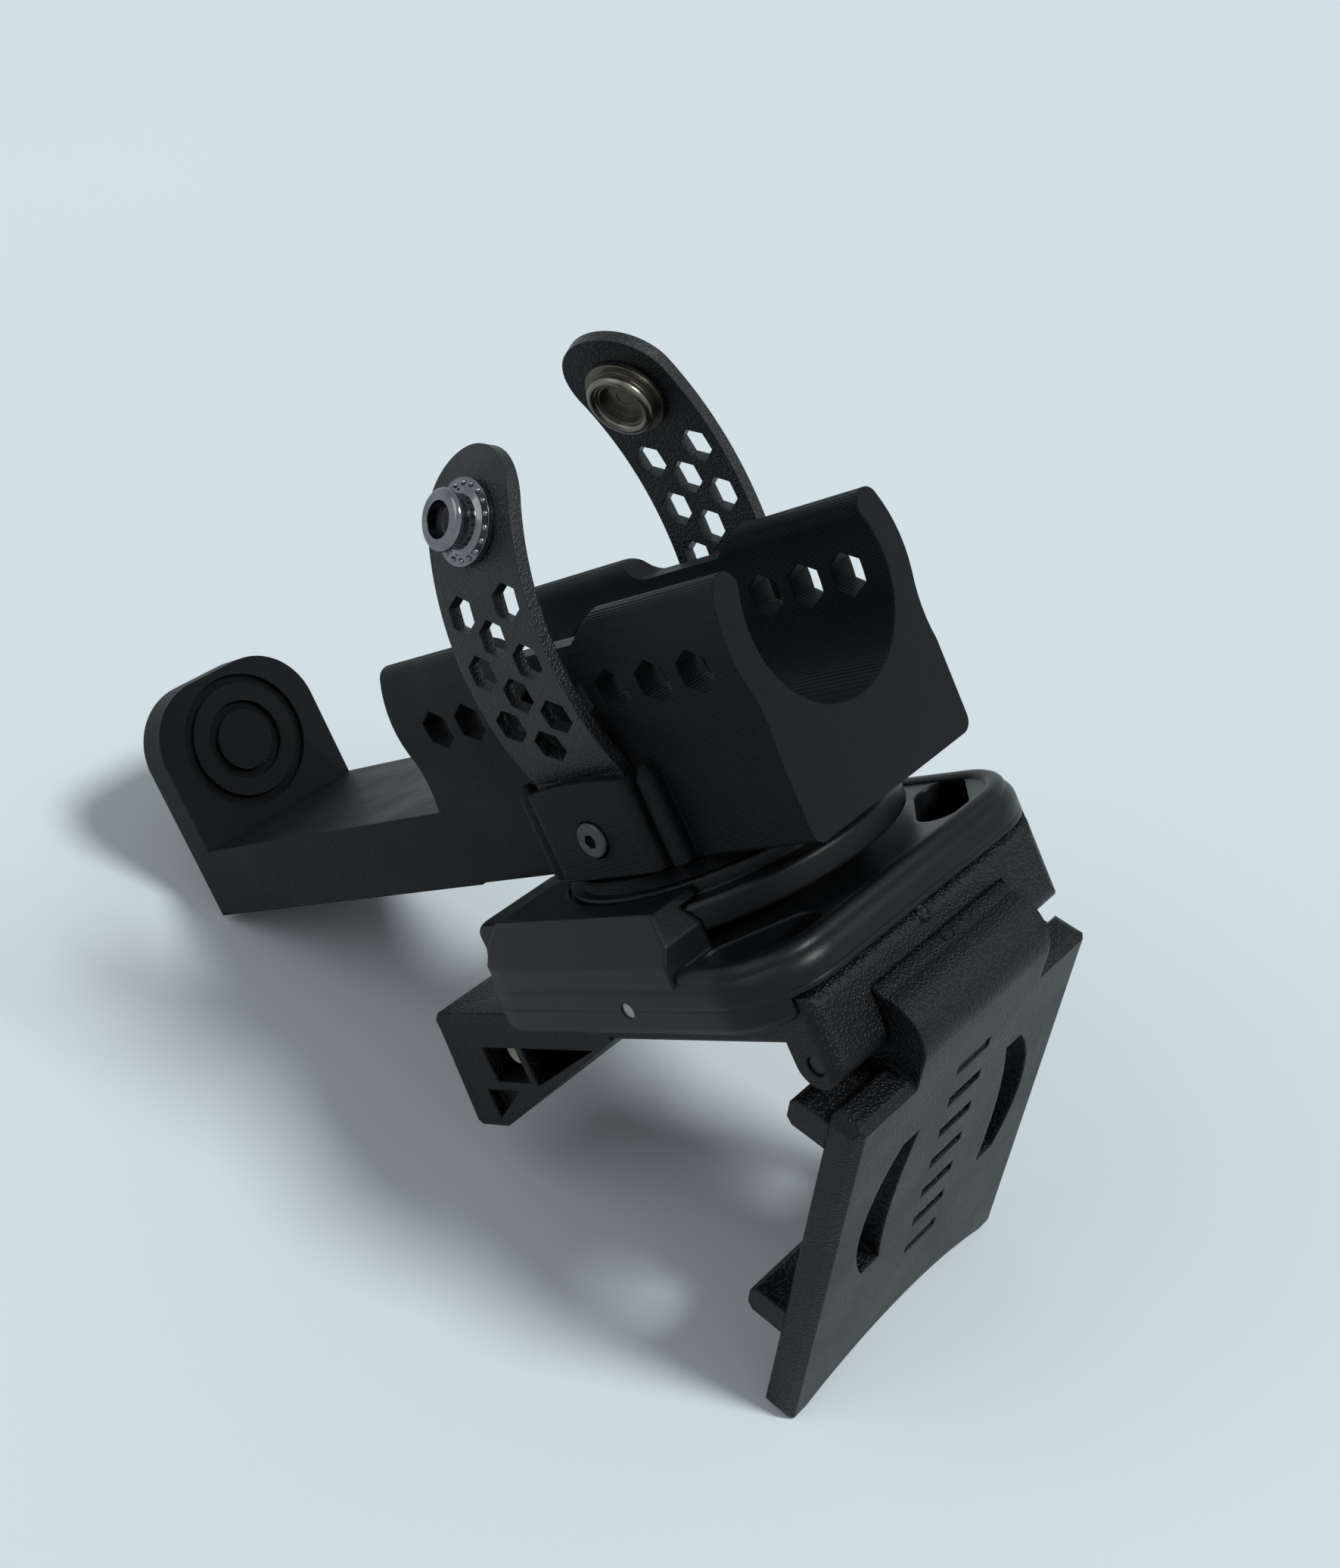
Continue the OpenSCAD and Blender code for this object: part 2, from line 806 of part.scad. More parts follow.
module socket_cap() {
  cap_r = snap_r + 0.3;
  dome_r = (cap_r * cap_r + 1.6 * 1.6) / 3.2;
  color([0.35, 0.3, 0.22])
    stood() swivelled() mirror([0, 1, 0]) at_far_snap()
      union() {
        translate([0, 0, 0.05])
          intersection() {
            cylinder(h = 1.6, r = cap_r);
            translate([0, 0, 1.6 - dome_r])
              sphere(r = dome_r);
          }
        translate([0, 0, -strap_thickness - far_sag - 0.6])
          cylinder(h = strap_thickness + far_sag + 0.8, r = snap_hole_r - 0.5 - seat_gap);
        translate([0, 0, -strap_thickness + 0.1])
          cylinder(h = strap_thickness, r = snap_hole_r);
      }
}

// ---------- turret ----------
module boss_disc() {
  color([0.08, 0.08, 0.09])
    stood() swivelled()
      difference() {
        translate([0, 0, boss_z])
          cylinder(h = boss_height, r = boss_d / 2);
        translate([0, 0, boss_z - 1])
          cylinder(h = boss_height + 2, r = axle_r + seat_gap);
      }
}

module turret() {
  color([0.1, 0.1, 0.1])
    stood() swivelled()
      difference() {
        union() {
          translate([0, 0, step_z])
            cylinder(h = step_height, r = step_d / 2);
          translate([0, 0, flange_z])
            cylinder(h = flange_height - 0.6, r = flange_d / 2);
          translate([0, 0, step_z - 0.6])
            cylinder(h = 0.6, r1 = flange_d / 2, r2 = flange_d / 2 - 0.6);
          translate([0, 0, neck_z])
            cylinder(h = flange_z - neck_z, r = neck_d / 2);
        }
        translate([0, 0, neck_z - 1])
          cylinder(h = boss_z - neck_z + 2, r = axle_r + seat_gap);
      }
}

module axle_insert() {
  color([0.75, 0.6, 0.3])
    stood() swivelled()
      translate([0, 0, base_z])
        insert(axle_insert_r, axle_top - base_z, axle_r + seat_gap);
}

module swivel_screw() {
  color([0.6, 0.6, 0.62])
    stood() swivelled()
      difference() {
        union() {
          translate([0, 0, retainer_z - 0.1])
            cylinder(h = axle_top - retainer_z - 0.5, r = axle_r);
          translate([0, 0, retainer_z - axle_head_h])
            cylinder(h = axle_head_h, r = axle_head_r);
        }
        translate([0, 0, retainer_z - axle_head_h - 1])
          cylinder(h = 2.2, r = 1.75, $fn = 6);
      }
}

module retainer() {
  color([0.6, 0.6, 0.62])
    stood() swivelled()
      difference() {
        translate([0, 0, retainer_z])
          cylinder(h = retainer_thickness, r = retainer_r);
        translate([0, 0, retainer_z - 1])
          cylinder(h = retainer_thickness + 2, r = axle_r + seat_gap);
      }
}

// ---------- rotor housing ----------
module rotor_body() {
  translate([0, 0, tray_z])
    rolled_block(rotor_length, rotor_width, rotor_corner, deck_z - tray_z, deck_round, 1.4);
}

module corner_slot(side) {
  half = corner_slot_length / 2;
  rotate([0, 0, side * corner_slot_turn + 180])
    translate([corner_slot_radius, 0, seam_z - eps])
      union() {
        for (s = [-1, 1])
          translate([0, s * half, 0])
            cylinder(h = cover_height + 2 * eps, r = corner_slot_width / 2);
        translate([-corner_slot_width / 2, -half, 0])
          cube([corner_slot_width, 2 * half, cover_height + 2 * eps]);
      }
}

module hood() {
  near = rotor_width / 2;
  difference() {
    intersection() {
      translate([0, 0, deck_under])
        rounded_prism(rotor_length - 2 * hood_inset, rotor_width - 2 * hood_inset,
                      rotor_corner - hood_inset, hood_z - deck_under);
      along_x(hood_front, hood_back)
        polygon([[12, deck_under], [near, deck_under], [near, deck_z + 1.4],
                 [near - 1.6, deck_z + 3.9], [near - 3.2, hood_z], [12, hood_z]]);
      along_y(0, rotor_width)
        polygon([[hood_front, deck_under], [hood_back, deck_under], [hood_back, deck_z + 5],
                 [hood_back - 3, hood_z], [hood_front + 2.2, hood_z], [hood_front, deck_z + 4]]);
    }
    translate([0, 0, deck_under - 1])
      cylinder(h = step_z + free_gap - deck_under + 1, r = flange_d / 2 + free_gap);
    translate([0, 0, deck_under - 1])
      cylinder(h = 4 * hood_height, r = step_d / 2 + 2 * free_gap);
  }
}

// the space the lever works in, as a plan outline above and below the seam
module lever_channel(low, high) {
  span([lever_x - hub_r - free_gap, lever_in - free_gap, low],
       [riser_back + free_gap, lever_out + free_gap, high]);
}

module lever_pin_hole() {
  y_rod(lever_x, seam_z, lever_in, rotor_width, lever_pin_d / 2 + seat_gap);
}

module rotor_cover() {
  tab_far = tab_near + tab_width;
  color([0.06, 0.06, 0.06])
    stood()
      difference() {
        union() {
          intersection() {
            rotor_body();
            span([-100, -100, seam_z], [100, 100, 0]);
          }
          hood();
        }
        translate([0, 0, deck_under - 1])
          cylinder(h = deck_thickness + 2, r = neck_d / 2 + 2 * run_gap);
        translate([0, 0, seam_z - eps])
          cylinder(h = deck_under - seam_z + eps, r = cavity_r);
        corner_slot(-1);
        corner_slot(1);
        lever_channel(seam_z - eps, deck_under);
        span([tab_front - 0.6, tab_near - 0.6, seam_z - eps], [rotor_length, tab_far + 0.6, 0]);
        span([riser_front - free_gap, tab_far - 3, seam_z - eps],
             [rotor_length, lever_out + free_gap, 0]);
        lever_pin_hole();
        for (p = rotor_screw_at)
          translate([p[0], p[1], seam_z - eps])
            cylinder(h = 3 + eps, r = rotor_screw_r + seat_gap);
      }
}

module rotor_tray() {
  color([0.06, 0.06, 0.06])
    stood()
      difference() {
        intersection() {
          rotor_body();
          span([-100, -100, tray_z - 1], [100, 100, seam_z]);
        }
        translate([0, 0, seam_z - axle_head_h - 1.3])
          cylinder(h = axle_head_h + 2.3, r = cavity_r);
        lever_channel(seam_z - channel_depth, seam_z + eps);
        span([riser_front - free_gap, tab_near + tab_width - 3, seam_z - channel_depth],
             [riser_back + free_gap, lever_out + free_gap, seam_z + eps]);
        span([-100, -clip_half - free_gap, tray_z - 1],
             [knuckle_back + free_gap, clip_half + free_gap, bar_top + 0.3]);
        lever_pin_hole();
        for (p = rotor_screw_at)
          translate([p[0], p[1], tray_z - 1])
            cylinder(h = tray_height + 2, r = rotor_screw_r + 0.15);
      }
}

module release_lever() {
  tab_far = tab_near + tab_width;
  color([0.07, 0.07, 0.07])
    stood()
      difference() {
        union() {
          y_rod(lever_x, seam_z, lever_in, lever_out, hub_r);
          span([lever_x, lever_in, arm_low], [riser_back, lever_out, arm_high]);
          span([riser_front, tab_far - 2.5, arm_low], [riser_back, lever_out, tab_low + 3]);
          translate([tab_front + tab_length / 2, tab_near + tab_width / 2, tab_low])
            rolled_block(tab_length, tab_width, 3, tab_thickness, 1.6, 0.8);
        }
        y_rod(lever_x, seam_z, lever_in - 1, lever_out + 1, lever_pin_d / 2 + run_gap);
      }
}

module lever_pin() {
  color([0.75, 0.75, 0.77])
    stood()
      y_rod(lever_x, seam_z, lever_in, rotor_width / 2 - 0.2, lever_pin_d / 2);
}

module lever_spring() {
  low = seam_z - channel_depth + seat_gap;
  high = arm_low - 0.35;
  foot = spring_front + spring_foot;
  top = foot + spring_rise;
  t = spring_thickness;
  color([0.7, 0.7, 0.72])
    stood()
      along_y(lever_in + 0.2, lever_out - 0.2)
        polygon([[spring_front, low], [foot, low], [top, high - t], [top + 1.5, high - t],
                 [top + 1.5, high], [top - 0.1, high], [foot - 0.1, low + t], [spring_front, low + t]]);
}

module rotor_screw(i) {
  p = rotor_screw_at[i];
  color([0.3, 0.3, 0.31])
    stood()
      difference() {
        translate([p[0], p[1], back_z + 0.2]) {
          cylinder(h = seam_z - back_z + 2.4, r = rotor_screw_r);
          cylinder(h = rotor_head_h, r1 = rotor_head_r, r2 = rotor_screw_r);
        }
        translate([p[0], p[1], back_z - 0.8]) {
          translate([-1.6, -0.3, 0])
            cube([3.2, 0.6, 1.9]);
          translate([-0.3, -1.6, 0])
            cube([0.6, 3.2, 1.9]);
        }
      }
}

// ---------- clip body ----------
module hook_outline() {
  polygon([[brace_front, back_z + 1], [back_reach - hook_lean, back_z + 1], [back_reach, hook_z + 0.8],
           [back_reach - 0.8, hook_z], [hook_front + 0.3, hook_z], [hook_front, hook_z + 0.1],
           [brace_front, back_z]]);
}

// the two hollows and the shallow recess moulded into each side of the hook
module side_hollows() {
  top = back_z - 1.7;
  box_front = back_reach - 20.6;
  box_back = back_reach - 11.4;
  box_low = brace_z(box_front) + 3.2;
  along_y(web_half, clip_half + 1)
    polygon([[box_front, top], [box_back, top], [box_back, box_low], [box_front, box_low]]);
  along_y(web_half - 4, clip_half + 1)
    polygon([[brace_front + 5.5, top], [box_front - 1.6, top],
             [box_front - 1.6, brace_z(box_front - 1.6) + 2]]);
  along_y(clip_half - 2, clip_half + 1)
    polygon([[box_front + 4.2, box_low - 1.5], [hook_front + 1.4, box_low - 1.5],
             [hook_front + 1.4, brace_z(hook_front + 1.4) + 2]]);
}

module knuckle() {
  difference() {
    along_y(knuckle_in, clip_half)
      union() {
        translate([clip_front, hinge_z])
          square([knuckle_thickness, back_top - hinge_z - 0.5]);
        translate([clip_front + knuckle_thickness / 2, hinge_z])
          circle(r = knuckle_thickness / 2);
      }
    y_rod(hinge_x, hinge_z, 0, clip_width, hinge_pin_d / 2 + seat_gap);
  }
}

// what is cut away to round one front corner of the clip and its knuckle
module front_corner() {
  low = hinge_z - knuckle_r - 1;
  high = bar_top + 1;
  difference() {
    span([clip_front - 1, clip_half - clip_corner, low],
         [clip_front + clip_corner, clip_half + 1, high]);
    translate([clip_front + clip_corner, clip_half - clip_corner, low - 1])
      cylinder(h = high - low + 2, r = clip_corner + 0.02);
  }
}

module back_plate() {
  color([0.05, 0.05, 0.05])
    stood()
      difference() {
        union() {
          along_x(clip_front, back_reach - hook_lean)
            polygon([[-clip_half + 0.8, back_z], [clip_half - 0.8, back_z], [clip_half, back_z + 0.8],
                     [clip_half, back_top - 0.8], [clip_half - 0.8, back_top],
                     [-clip_half + 0.8, back_top], [-clip_half, back_top - 0.8],
                     [-clip_half, back_z + 0.8]]);
          along_y(-clip_half, clip_half)
            union() {
              translate([clip_front, back_z + 1])
                square([knuckle_thickness, bar_top - back_z - 3.4]);
              translate([clip_front + 2.4, back_z + 1])
                square([knuckle_thickness - 2.4, bar_top - back_z - 1]);
              translate([clip_front + 2.4, bar_top - 2.4])
                circle(r = 2.4);
            }
          for (m = [0, 1])
            mirror([0, m, 0])
              knuckle();
          difference() {
            along_y(-clip_half, clip_half)
              hook_outline();
            for (m = [0, 1])
              mirror([0, m, 0])
                side_hollows();
          }
        }
        for (m = [0, 1])
          mirror([0, m, 0])
            front_corner();
        y_rod(hinge_x, hinge_z, -knuckle_in, knuckle_in, barrel_r + 0.35);
        y_rod(button_x, button_z, -web_half - 1, web_half + 1, button_d / 2 + run_gap);
        for (p = rotor_screw_at)
          translate([p[0], p[1], back_z - 1]) {
            cylinder(h = back_thickness + 2, r = rotor_screw_r + 0.15);
            cylinder(h = 1.2, r = rotor_head_r + 0.15);
            translate([0, 0, 1.2])
              cylinder(h = rotor_head_h, r1 = rotor_head_r + 0.15, r2 = rotor_screw_r + 0.15);
          }
      }
}

module button() {
  union() {
    y_rod(button_x, button_z, button_stroke + 1, button_out - 0.6, button_d / 2);
    y_rod(button_x, button_z, button_out - 1.6, button_out, button_d / 2 - 0.5);
  }
}

module near_button() {
  color([0.75, 0.73, 0.68])
    stood()
      button();
}

module far_button() {
  color([0.75, 0.73, 0.68])
    stood() mirror([0, 1, 0])
      button();
}

module hinge_pin() {
  color([0.7, 0.7, 0.72])
    stood()
      y_rod(hinge_x, hinge_z, -clip_half + 0.3, clip_half - 0.3, hinge_pin_d / 2);
}

// ---------- outer plate ----------
// a bean-shaped opening: the band between two arcs, cut off square at both ends
module crescent() {
  from = plate_start + 13;
  to = plate_start + 41;
  intersection() {
    difference() {
      arc_disc([from, 14.4], [to, 16.8], 4.4);
      arc_disc([from, 10.6], [to, 12.4], 1.7);
    }
    translate([from, 5])
      square([to - from, 20]);
  }
}

// the disc whose edge runs through two points and bulges by a sag between them
module arc_disc(a, b, sag) {
  chord = norm(b - a);
  side = [-(b - a)[1], (b - a)[0]] / chord;
  r = (chord * chord / 4 + sag * sag) / (2 * sag);
  translate((a + b) / 2 + side * (sag - r))
    circle(r = r, $fn = 240);
}

module plate_slab() {
  half = plate_width / 2;
  c = plate_chamfer;
  k = 0.5;
  intersection() {
    translate([(plate_start + plate_end) / 2, 0, plate_low - 1])
      rounded_prism(plate_end - plate_start + 0.02, plate_width + 0.02, plate_corner, plate_thickness + 2);
    along_x(plate_start, plate_end)
      polygon([[-half, plate_low + c], [-half + c, plate_low], [half - c, plate_low],
               [half, plate_low + c], [half, plate_high - k], [half - k, plate_high],
               [-half + k, plate_high], [-half, plate_high - k]]);
    along_y(-half, half)
      polygon([[plate_start, plate_low + c], [plate_start + c, plate_low],
               [plate_end - k, plate_low], [plate_end, plate_low + k],
               [plate_end, plate_high - k], [plate_end - k, plate_high],
               [plate_start + k, plate_high], [plate_start, plate_high - k]]);
  }
}

module belt_plate() {
  half = plate_width / 2 - 3;
  hollow_r = (half * half + end_hollow * end_hollow) / (2 * end_hollow);
  color([0.05, 0.05, 0.05])
    stood() on_hinge()
      difference() {
        union() {
          plate_slab();
          y_rod(0, 0, -barrel_half, barrel_half, barrel_r);
          y_rod(lobe_x, plate_low + lobe_r - 0.03, -barrel_half, barrel_half, lobe_r);
          along_y(-barrel_half, barrel_half)
            polygon([[lobe_x, plate_low + 1], [lobe_x, plate_low], [plate_start + 6, plate_low],
                     [plate_start + 6, plate_high], [plate_start + 2.4, plate_high],
                     [barrel_r - 0.2, plate_high + 2], [0, 0]]);
        }
        y_rod(0, 0, -barrel_half - 1, barrel_half + 1, hinge_pin_d / 2 + run_gap);
        translate([plate_end - end_hollow + hollow_r, 0, plate_low - 1])
          cylinder(h = plate_thickness + 2, r = hollow_r);
        for (i = [0 : slot_count - 1])
          translate([slot_first + i * slot_pitch - slot_height / 2, -slot_width / 2, plate_low - 1])
            cube([slot_height, slot_width, plate_thickness + 2]);
        translate([0, 0, plate_low - 1])
          linear_extrude(height = plate_thickness + 2)
            union() {
              crescent();
              mirror([0, 1])
                crescent();
            }
      }
}

module belt_bar(slot, shift) {
  mid = slot + shift;
  top = plate_high + bar_rise;
  union() {
    along_y(-bar_half, bar_half)
      polygon([[mid - bar_width / 2, plate_high], [mid + bar_width / 2, plate_high],
               [mid + bar_width / 2, top - 1], [mid + bar_width / 2 - 1, top],
               [mid - bar_width / 2 + 1, top], [mid - bar_width / 2, top - 1]]);
    span([slot - bar_tongue / 2, -slot_width / 2 + 0.2, plate_low + 0.3],
         [slot + bar_tongue / 2, slot_width / 2 - 0.2, plate_high + 1]);
  }
}

module upper_bar() {
  color([0.05, 0.05, 0.05])
    stood() on_hinge()
      belt_bar(upper_slot, -bar_shift);
}

module lower_bar() {
  color([0.05, 0.05, 0.05])
    stood() on_hinge()
      belt_bar(lower_slot, bar_shift);
}

cradle();
near_strap();
far_strap();
near_clamp();
far_clamp();
near_clamp_screw();
far_clamp_screw();
near_insert();
far_insert();
snap_stud();
stud_eyelet();
snap_socket();
socket_cap();
boss_disc();
turret();
axle_insert();
swivel_screw();
retainer();
rotor_cover();
rotor_tray();
release_lever();
lever_pin();
lever_spring();
rotor_screw(0);  // rotor_screw_a
rotor_screw(1);  // rotor_screw_b
rotor_screw(2);  // rotor_screw_c
rotor_screw(3);  // rotor_screw_d
back_plate();
near_button();
far_button();
hinge_pin();
belt_plate();
upper_bar();
lower_bar();
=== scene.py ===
import json
import math

import bpy
from mathutils import Matrix, Vector


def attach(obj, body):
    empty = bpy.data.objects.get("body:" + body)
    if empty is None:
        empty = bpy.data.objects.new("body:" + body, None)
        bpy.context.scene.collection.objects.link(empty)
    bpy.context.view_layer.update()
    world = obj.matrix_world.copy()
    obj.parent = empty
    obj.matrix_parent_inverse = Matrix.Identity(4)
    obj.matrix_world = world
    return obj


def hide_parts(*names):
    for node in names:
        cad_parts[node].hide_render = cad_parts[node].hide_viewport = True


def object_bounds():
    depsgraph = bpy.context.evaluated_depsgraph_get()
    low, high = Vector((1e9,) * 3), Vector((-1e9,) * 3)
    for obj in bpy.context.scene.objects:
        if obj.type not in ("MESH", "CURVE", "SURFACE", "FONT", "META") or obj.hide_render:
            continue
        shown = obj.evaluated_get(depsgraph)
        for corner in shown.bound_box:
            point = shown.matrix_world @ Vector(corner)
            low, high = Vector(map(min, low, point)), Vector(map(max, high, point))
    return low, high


# Looks of a swivelling belt-clip holder: finishes, the trough's wall dips, trim, camera and light.
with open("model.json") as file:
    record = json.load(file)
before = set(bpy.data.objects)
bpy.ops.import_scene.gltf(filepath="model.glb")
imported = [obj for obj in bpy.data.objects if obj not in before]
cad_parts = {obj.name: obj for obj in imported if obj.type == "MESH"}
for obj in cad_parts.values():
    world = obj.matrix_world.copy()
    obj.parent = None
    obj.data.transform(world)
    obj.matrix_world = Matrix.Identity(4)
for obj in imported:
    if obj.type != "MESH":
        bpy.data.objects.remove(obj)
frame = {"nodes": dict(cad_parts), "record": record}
cad_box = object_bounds()
record = frame["record"]
nodes = frame["nodes"]
mounts = {mount["name"]: mount for mount in record["mounts"]}
joints = {joint["name"]: joint for joint in record["behaviour"]["joints"]}
MM = 0.001


# ---------- the frames of the two halves ----------
def local_frame(x, y, z, origin):
    matrix = Matrix((x, y, z)).transposed().to_4x4()
    matrix.translation = origin
    return matrix


# holder: X towards the end stop, Y towards the lever's side, Z out of the trough, from its middle
axis_x = -Vector(mounts["trough"]["axis"]).normalized()
axis_z = Vector(joints["swivel"]["axis"]).normalized()
axis_y = axis_z.cross(axis_x).normalized()
trough_mid = Vector(mounts["trough"]["pos_m"])
HOLDER = local_frame(axis_x, axis_y, axis_z, trough_mid)

# clip: the same Z, Y along the hinge, from the swivel's axis at the height of the trough's axis
clip_y = Vector((0.0, 1.0, 0.0))
swivel_at = Vector(joints["swivel"]["pos_m"])
swivel_at += axis_z * (trough_mid - swivel_at).dot(axis_z)
CLIP = local_frame(clip_y.cross(axis_z), clip_y, axis_z, swivel_at)
hinge_at = Vector(joints["plate_hinge"]["pos_m"])


# ---------- sizes, in millimetres ----------
# dips in the trough's walls, in the holder's frame
WALL_TOP = 9.0
WALL_OUTSIDE = 24.0     # half width of the cutter, past both walls
DIP_FLOOR = 5.5
DIP_START = -13.3       # where the ramp leaves the wall's top
DIP_FOOT = -8.7         # where it meets the floor
DIP_RISE = 8.9          # where the curved rise would start without its fillets
RISE_RUN = 2.6
RISE_FILLET = 1.65
SKIM = 0.02             # the rise ends this far over the wall's top
CUT_ABOVE = 3.0         # the cutter goes on over the wall and past the rise
CUT_PAST = 6.0

# round upper corners of the end stop, in the holder's frame
STOP_TOP = 13.8
STOP_HALF = 17.2
STOP_ROUND = 12.0
STOP_FACE = 111.7
STOP_THICK = 7.0
STOP_MARGIN = 1.0       # the cutter goes on round the stop
STOP_CYLINDER = 40.0

# bead round the deck of the rotor's housing, in the clip's frame
DECK_LEVEL = -38.4
ROTOR_LENGTH = 69.6
ROTOR_WIDTH = 62.4
ROTOR_CORNER = 12.3
BEAD_INSET = 2.4
BEAD_RADIUS = 1.6
BEAD_RISE = 0.7
BEAD_NEAR_END = -12.0   # inside the lever's hood
BEAD_REAR_END = 1.5     # beside the lever's tab

# torn stubs of the mould's gates, from the hinge's middle
GATE_RADIUS = 1.15
GATE_STRETCH = 1.25
GATE_ROUGH = 0.7        # share of a stub's height
BAR_GATE = {"place": (3.1, 1.1, 8.85), "normal": (-0.4, 0.0, 0.92), "height": 0.24, "seed": 3}
BARREL_GATE = {"place": (-0.2, -0.75, 6.06), "normal": (0.0, 0.0, 1.0), "height": 0.11, "seed": 8}

LAYER_HEIGHT = 0.3      # of the printed pieces
WELD = 0.001            # points this close become one
CLOSE = 0.01            # within this, a point counts as at a place
CLEAR = 0.1             # beyond this, it counts as past it
TROUGH_SMOOTH = 25.0    # degrees: flatter edges than this are shaded smooth
BEAD_SMOOTH = 40.0


# ---------- camera, in millimetres and in the holder's frame ----------
CAMERA_PLACE = Vector((-203.9, 178.7, 40.0))
CAMERA_RIGHT = Vector((-0.66158, -0.63727, -0.39522))
CAMERA_DOWN = Vector((0.10907, 0.43967, -0.89151))
CAMERA_AHEAD = Vector((0.74190, -0.63291, -0.22137))
LENS = 51.18
SENSOR = 36.0


def make_camera():
    """The camera, placed in the holder's frame."""
    lens = bpy.data.cameras.new("camera")
    camera = bpy.data.objects.new("camera", lens)
    bpy.context.scene.collection.objects.link(camera)
    place = local_frame(CAMERA_RIGHT, -CAMERA_DOWN, -CAMERA_AHEAD, CAMERA_PLACE * MM)
    camera.matrix_world = HOLDER @ place
    lens.sensor_fit = "HORIZONTAL"
    lens.sensor_width = SENSOR
    lens.lens = LENS
    lens.clip_start = 0.01
    lens.clip_end = 20.0
    bpy.context.scene.camera = camera
    return camera


# ---------- shader helper ----------
class Value:
    """One output of a shader node, which can be used in sums."""

    def __init__(self, tree, socket):
        self.tree = tree
        self.socket = socket

    def math(self, operation, first, second=0.0):
        return self.tree.node("ShaderNodeMath", {0: first, 1: second}, operation=operation)

    def __add__(self, other):
        return self.math("ADD", self, other)

    def __sub__(self, other):
        return self.math("SUBTRACT", self, other)

    def __rsub__(self, other):
        return self.math("SUBTRACT", other, self)

    def __mul__(self, other):
        return self.math("MULTIPLY", self, other)

    def __truediv__(self, other):
        return self.math("DIVIDE", self, other)

    def __rtruediv__(self, other):
        return self.math("DIVIDE", other, self)

    __radd__ = __add__
    __rmul__ = __mul__

    def __abs__(self):
        return self.math("ABSOLUTE", self)

    def fraction(self):
        return self.math("FRACT", self)

    def larger(self, other):
        return self.math("MAXIMUM", self, other)

    def band(self, low, high, at_low=0.0, at_high=1.0):
        """Moves smoothly from at_low to at_high as this value goes from low to high."""
        given = {
            "Value": self, "From Min": low, "From Max": high, "To Min": at_low, "To Max": at_high}
        return self.tree.node("ShaderNodeMapRange", given, interpolation_type="SMOOTHSTEP")

    def along(self, axis):
        """Distance of this position along an axis."""
        given = {0: self, 1: tuple(axis)}
        return self.tree.node(
            "ShaderNodeVectorMath", given, operation="DOT_PRODUCT", output="Value")


class Tree:
    """The emptied node tree of a material or of the world."""

    def __init__(self, owner):
        owner.use_nodes = True
        self.owner = owner
        self.nodes = owner.node_tree.nodes
        self.links = owner.node_tree.links
        self.nodes.clear()

    def node(self, kind, given=None, output=0, **settings):
        """Adds a node with these settings, linked to or filled with what is given."""
        made = self.nodes.new(kind)
        for key, value in settings.items():
            setattr(made, key, value)
        for key, value in (given or {}).items():
            if isinstance(value, Value):
                self.links.new(value.socket, made.inputs[key])
            else:
                made.inputs[key].default_value = value
        return Value(self, made.outputs[output]) if len(made.outputs) else None


class Finish(Tree):
    """A new material, with the patterns that finishes are made of. Sizes are in millimetres."""

    def __init__(self, name):
        super().__init__(bpy.data.materials.new(name))
        self.place = self.node("ShaderNodeTexCoord", output="Object")

    def noise(self, size, detail=3.0, rough=0.5):
        given = {
            "Vector": self.place, "Scale": 1.0 / (size * MM),
            "Detail": detail, "Roughness": rough}
        return self.node("ShaderNodeTexNoise", given)

    def pebbles(self, size, flat, edge):
        """Round bumps: 1 on their flat middles, 0 past their edges."""
        given = {"Vector": self.place, "Scale": 1.0 / (size * MM)}
        distance = self.node("ShaderNodeTexVoronoi", given, feature="F1", output="Distance")
        return distance.band(flat, edge, 1.0, 0.0)

    def mix(self, amount, first, second):
        given = {0: amount, 6: (*first, 1.0), 7: (*second, 1.0)}
        return self.node("ShaderNodeMix", given, data_type="RGBA", output=2)

    def bump(self, height, depth, edge):
        """Relief on the surface, over edges that are softened by a radius."""
        softened = self.node("ShaderNodeBevel", {"Radius": edge * MM}, samples=6)
        given = {"Height": height, "Distance": depth * MM, "Normal": softened}
        return self.node("ShaderNodeBump", given)

    def material(self, **given):
        """Ends the tree. A name such as base_color stands for the input Base Color."""
        named = {
            key.replace("_", " ").title().replace("Ior", "IOR"): value
            for key, value in given.items()}
        shader = self.node("ShaderNodeBsdfPrincipled", named)
        self.node("ShaderNodeOutputMaterial", {"Surface": shader})
        return self.owner


# ---------- finishes ----------
def printed_plastic(name):
    """Matt black filament, with its layers stacked along the holder's Z."""
    finish = Finish(name)
    wobble = finish.noise(5.0, 2.0)
    layers = (finish.place.along(axis_z) / (LAYER_HEIGHT * MM) + wobble * 0.5).fraction()
    ridge_and_painted_highlight = abs(layers - 0.5)
    grain = finish.noise(0.4, 4.0, 0.6)
    patches = finish.noise(12.0)
    return finish.material(
        # base colour: patches of tone at random, and the layer ridges painted lighter, a painted
        # highlight along the layer lines
        base_color=finish.mix(
            patches * 0.5 + ridge_and_painted_highlight, (0.002, 0.0026, 0.0034), (0.0075, 0.0085, 0.01)),
        roughness=patches.band(0.3, 0.7, 0.42, 0.52) + grain * 0.08,
        normal=finish.bump(ridge_and_painted_highlight * 1.2 + grain * 0.25, depth=0.2, edge=0.55),
        specular_ior_level=0.16,
    )


